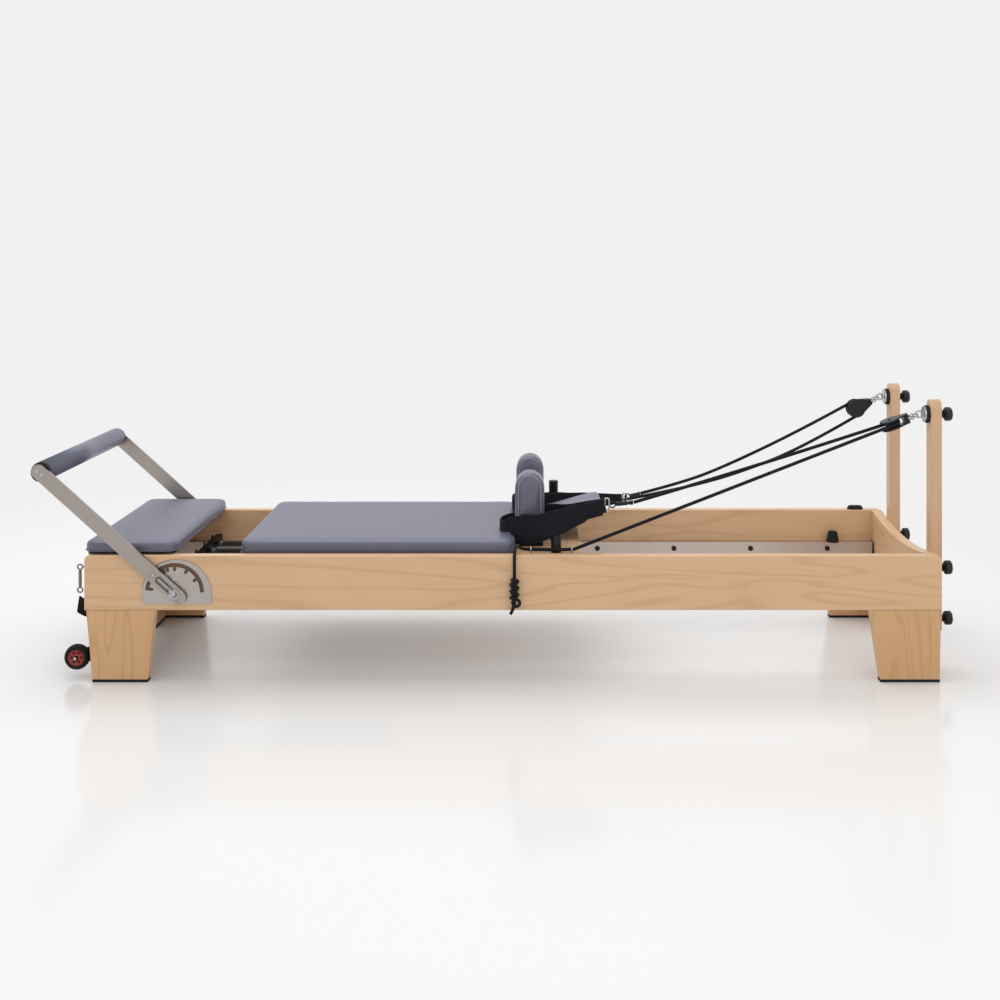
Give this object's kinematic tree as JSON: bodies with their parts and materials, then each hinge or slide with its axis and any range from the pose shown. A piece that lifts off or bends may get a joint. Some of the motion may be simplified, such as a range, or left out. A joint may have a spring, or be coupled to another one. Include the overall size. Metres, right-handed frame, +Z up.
{
  "type": "pilates reformer",
  "caption": "Wooden pilates reformer: sliding padded carriage on rails, springs, pivoting footbar, shoulder rests, headrest, ropes over riser pulleys.",
  "frame": {"origin": "on the floor under the middle of the object's box, cords not counted", "axes": "+X towards the head end with the risers, +Y towards the far rail, +Z up"},
  "size_m": [2.5681, 0.7144, 0.7649],
  "materials": {
    "rail_wood": "satin lacquer",
    "leg_wood": "satin lacquer",
    "board_wood": "satin lacquer",
    "black_board": "black painted board",
    "rubber": "matt",
    "aluminium": "anodised",
    "black_metal": "black powder coat",
    "vinyl": "upholstery vinyl, fine grain",
    "bar_foam": "vinyl-covered foam",
    "spring_steel": "oiled spring wire",
    "webbing": "woven webbing",
    "chrome": "polished",
    "stainless": "brushed",
    "screw_steel": "polished heads",
    "tube_steel": "plain",
    "black_plastic": "moulded",
    "rope": "braided cord",
    "hook_metal": "ring bright, hook black",
    "roller_nylon": "white nylon",
    "wheel_tyre": "black tyre on a red plastic hub"
  },
  "bodies": {
    "frame": {"side_rail_near": "rail_wood", "side_rail_far": "rail_wood", "head_board": "rail_wood", "foot_board": "rail_wood", "legs": "leg_wood", "leg_pads": "rubber", "tracks": "aluminium", "track_bolts": "black_metal", "track_stops": "rubber", "rail_peg": "rubber", "foot_platform_board": "black_board", "foot_platform_pad": "vinyl", "spring_bar": "black_metal", "wheel_brackets": "black_metal", "foot_strap": "webbing", "foot_strap_hooks": "chrome", "quadrants": "stainless", "quadrant_screws": "screw_steel", "footbar_pivots": "screw_steel", "risers": "leg_wood", "eye_bolt_knobs": "black_plastic", "pulley_hangers": "chrome", "eye_washers": "rubber", "pulley_cages": "black_plastic"},
    "footbar": {"footbar_arms": "stainless", "footbar_screws": "screw_steel", "footbar_tube": "tube_steel", "footbar_pad": "bar_foam", "footbar_caps": "black_plastic"},
    "latch_near": {"latch_near": "stainless"},
    "latch_far": {"latch_far": "stainless"},
    "carriage": {"carriage_board": "board_wood", "carriage_pad": "vinyl", "carriage_brackets": "black_metal", "shoulder_rests": "vinyl", "shoulder_brackets": "black_metal", "strap_posts": "black_plastic", "rope_eyelets": "chrome", "hand_loops": "webbing", "loop_hardware": "hook_metal", "springs": "spring_steel", "rope_near": "rope", "rope_far": "rope", "rope_tail_near": "rope", "rope_tail_far": "rope", "tail_knots": "rope"},
    "headrest": {"headrest_board": "black_board", "headrest_pad": "vinyl"},
    "roller_foot_near": {"roller_foot_near": "roller_nylon"},
    "roller_foot_far": {"roller_foot_far": "roller_nylon"},
    "roller_head_near": {"roller_head_near": "roller_nylon"},
    "roller_head_far": {"roller_head_far": "roller_nylon"},
    "riser_knob_upper_near": {"riser_knob_upper_near": "black_plastic"},
    "riser_knob_lower_near": {"riser_knob_lower_near": "black_plastic"},
    "sheave_near": {"sheave_near": "black_plastic"},
    "transport_wheel_near": {"transport_wheel_near": "wheel_tyre"},
    "riser_knob_upper_far": {"riser_knob_upper_far": "black_plastic"},
    "riser_knob_lower_far": {"riser_knob_lower_far": "black_plastic"},
    "sheave_far": {"sheave_far": "black_plastic"},
    "transport_wheel_far": {"transport_wheel_far": "wheel_tyre"}
  },
  "joints": [
    {"name": "carriage_slide", "type": "slide", "parent": "frame", "child": "carriage", "axis": [1, 0, 0], "range_m": [0, 0.78], "stiffness_N_per_m": 120, "springref_m": -0.05, "deforming": ["springs", "rope_near", "rope_far"]},
    {"name": "footbar_fold", "type": "hinge", "parent": "frame", "child": "footbar", "pos_m": [-0.88894, 0, 0.248], "axis": [0, 1, 0], "range_deg": [-34, 116]},
    {"name": "headrest_tilt", "type": "hinge", "parent": "carriage", "child": "headrest", "pos_m": [0.05306, 0, 0.3443], "axis": [0, -1, 0], "range_deg": [-15, 10]},
    {"name": "latch_slide_near", "type": "slide", "parent": "footbar", "child": "latch_near", "axis": [-0.7431, 0, 0.6691], "range_m": [-0.0125, 0]},
    {"name": "latch_slide_far", "type": "slide", "parent": "footbar", "child": "latch_far", "axis": [-0.7431, 0, 0.6691], "range_m": [-0.0125, 0]},
    {"name": "roller_foot_near_roll", "type": "hinge", "parent": "carriage", "child": "roller_foot_near", "pos_m": [-0.65894, -0.2865, 0.275], "axis": [0, 1, 0], "continuous": true},
    {"name": "roller_foot_far_roll", "type": "hinge", "parent": "carriage", "child": "roller_foot_far", "pos_m": [-0.65894, 0.2865, 0.275], "axis": [0, 1, 0], "continuous": true},
    {"name": "roller_head_near_roll", "type": "hinge", "parent": "carriage", "child": "roller_head_near", "pos_m": [0.20106, -0.2865, 0.275], "axis": [0, 1, 0], "continuous": true},
    {"name": "roller_head_far_roll", "type": "hinge", "parent": "carriage", "child": "roller_head_far", "pos_m": [0.20106, 0.2865, 0.275], "axis": [0, 1, 0], "continuous": true},
    {"name": "riser_knob_upper_near_turn", "type": "hinge", "parent": "frame", "child": "riser_knob_upper_near", "pos_m": [1.25006, -0.2145, 0.288], "axis": [1, 0, 0], "continuous": true},
    {"name": "riser_knob_lower_near_turn", "type": "hinge", "parent": "frame", "child": "riser_knob_lower_near", "pos_m": [1.25006, -0.2145, 0.145], "axis": [1, 0, 0], "continuous": true},
    {"name": "sheave_near_spin", "type": "hinge", "parent": "frame", "child": "sheave_near", "pos_m": [1.11122, -0.2145, 0.6943], "axis": [-0.342, 0, 0.9397], "continuous": true},
    {"name": "transport_wheel_near_roll", "type": "hinge", "parent": "frame", "child": "transport_wheel_near", "pos_m": [-1.17194, -0.286, 0.057], "axis": [0, 1, 0], "continuous": true},
    {"name": "riser_knob_upper_far_turn", "type": "hinge", "parent": "frame", "child": "riser_knob_upper_far", "pos_m": [1.25006, 0.2145, 0.288], "axis": [1, 0, 0], "continuous": true},
    {"name": "riser_knob_lower_far_turn", "type": "hinge", "parent": "frame", "child": "riser_knob_lower_far", "pos_m": [1.25006, 0.2145, 0.145], "axis": [1, 0, 0], "continuous": true},
    {"name": "sheave_far_spin", "type": "hinge", "parent": "frame", "child": "sheave_far", "pos_m": [1.11465, 0.2145, 0.68622], "axis": [0, 1, 0], "continuous": true},
    {"name": "transport_wheel_far_roll", "type": "hinge", "parent": "frame", "child": "transport_wheel_far", "pos_m": [-1.17194, 0.286, 0.057], "axis": [0, 1, 0], "continuous": true}
  ],
  "couplings": [
    {"joint": "roller_foot_near_roll", "follows": "carriage_slide", "rad_per_m": 40.486},
    {"joint": "roller_foot_far_roll", "follows": "carriage_slide", "rad_per_m": 40.486},
    {"joint": "roller_head_near_roll", "follows": "carriage_slide", "rad_per_m": 40.486},
    {"joint": "roller_head_far_roll", "follows": "carriage_slide", "rad_per_m": 40.486}
  ]
}
